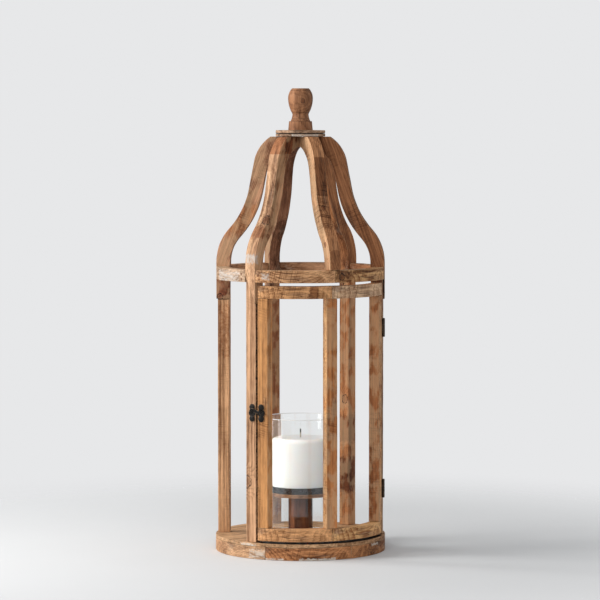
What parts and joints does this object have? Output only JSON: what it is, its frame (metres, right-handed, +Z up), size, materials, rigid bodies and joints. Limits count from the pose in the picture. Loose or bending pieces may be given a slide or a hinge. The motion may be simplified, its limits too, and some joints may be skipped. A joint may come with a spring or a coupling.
{
  "type": "floor lantern",
  "caption": "Open round wooden candle lantern with curved ribs under a turned finial, a curved hinged door with a hook latch, and a glass sleeve round a candle on a pedestal.",
  "frame": {"origin": "middle of the round base's underside, where it stands on the floor", "axes": "+Z up along the lantern's axis; the curved door faces -Y, with its hinges on the +X side and its latch on the -X side"},
  "size_m": [0.295, 0.295, 0.7999],
  "materials": {
    "honey_wood": "waxed reclaimed fir, golden brown with streaks and knots",
    "tan_wood": "waxed reclaimed fir, tan with saw marks",
    "brown_wood": "waxed reclaimed fir, mid brown",
    "pale_wood": "reclaimed fir with remains of whitewash",
    "dark_wood": "turned and stained reddish brown, satin",
    "black_iron": "black with rubbed bronze edges",
    "steel": "zinc plated",
    "dish_metal": "black satin",
    "glass": "clear",
    "wax": "ivory wax, smooth",
    "wick": "braided cotton, charred at the top"
  },
  "bodies": {
    "frame": {"base_board": "tan_wood", "base_segment_1": "brown_wood", "base_segment_2": "brown_wood", "base_segment_3": "honey_wood", "base_segment_4": "brown_wood", "base_segment_5": "brown_wood", "base_segment_6": "honey_wood", "post_latch": "tan_wood", "post_hinge": "brown_wood", "post_back_right": "brown_wood", "post_back": "brown_wood", "post_back_left": "brown_wood", "ring_front_left": "pale_wood", "ring_front_right": "honey_wood", "ring_right": "tan_wood", "ring_back_right": "tan_wood", "ring_back_left": "honey_wood", "ring_left": "pale_wood", "rib_front": "tan_wood", "rib_latch": "tan_wood", "rib_hinge": "honey_wood", "rib_back_right": "brown_wood", "rib_back": "tan_wood", "rib_back_left": "brown_wood", "cap_disc_lower": "brown_wood", "cap_disc_upper": "tan_wood", "finial": "dark_wood", "finial_screw": "steel", "rib_screws": "steel", "hinge_upper_post_leaf": "black_iron", "hinge_upper_pin": "black_iron", "hinge_lower_post_leaf": "black_iron", "hinge_lower_pin": "black_iron", "hinge_post_screws": "black_iron", "catch_plate": "black_iron", "catch_pins": "black_iron", "pedestal_post": "dark_wood", "pedestal_flange": "dark_wood", "candle_dish": "dish_metal", "pedestal_screw": "steel", "dish_screw": "steel", "post_screws": "steel"},
    "door": {"door_stile_latch": "honey_wood", "door_stile_middle": "tan_wood", "door_stile_hinge": "honey_wood", "door_top_rail_left": "honey_wood", "door_top_rail_right": "tan_wood", "door_bottom_rail_left": "honey_wood", "door_bottom_rail_right": "brown_wood", "door_nails": "steel", "hinge_upper_door_leaf": "black_iron", "hinge_lower_door_leaf": "black_iron", "hinge_door_screws": "black_iron", "latch_plate": "black_iron", "latch_rivet": "black_iron", "latch_pins": "black_iron"},
    "hook": {"latch_hook": "black_iron"},
    "glass": {"glass_sleeve": "glass"},
    "candle": {"candle": "wax", "wick": "wick"}
  },
  "joints": [
    {"name": "door_swing", "type": "hinge", "parent": "frame", "child": "door", "pos_m": [0.12006, -0.08306, 0.249], "axis": [0, 0, 1], "range_deg": [0, 150]},
    {"name": "latch_turn", "type": "hinge", "parent": "door", "child": "hook", "pos_m": [-0.11487, -0.08929, 0.2507], "axis": [0.7743, 0.6328, 0], "range_deg": [0, 100]},
    {"name": "glass_lift", "type": "slide", "parent": "frame", "child": "glass", "axis": [0, 0, 1], "range_m": [0, 0.185]},
    {"name": "candle_lift", "type": "slide", "parent": "frame", "child": "candle", "axis": [0, 0, 1], "range_m": [0, 0.135]}
  ]
}
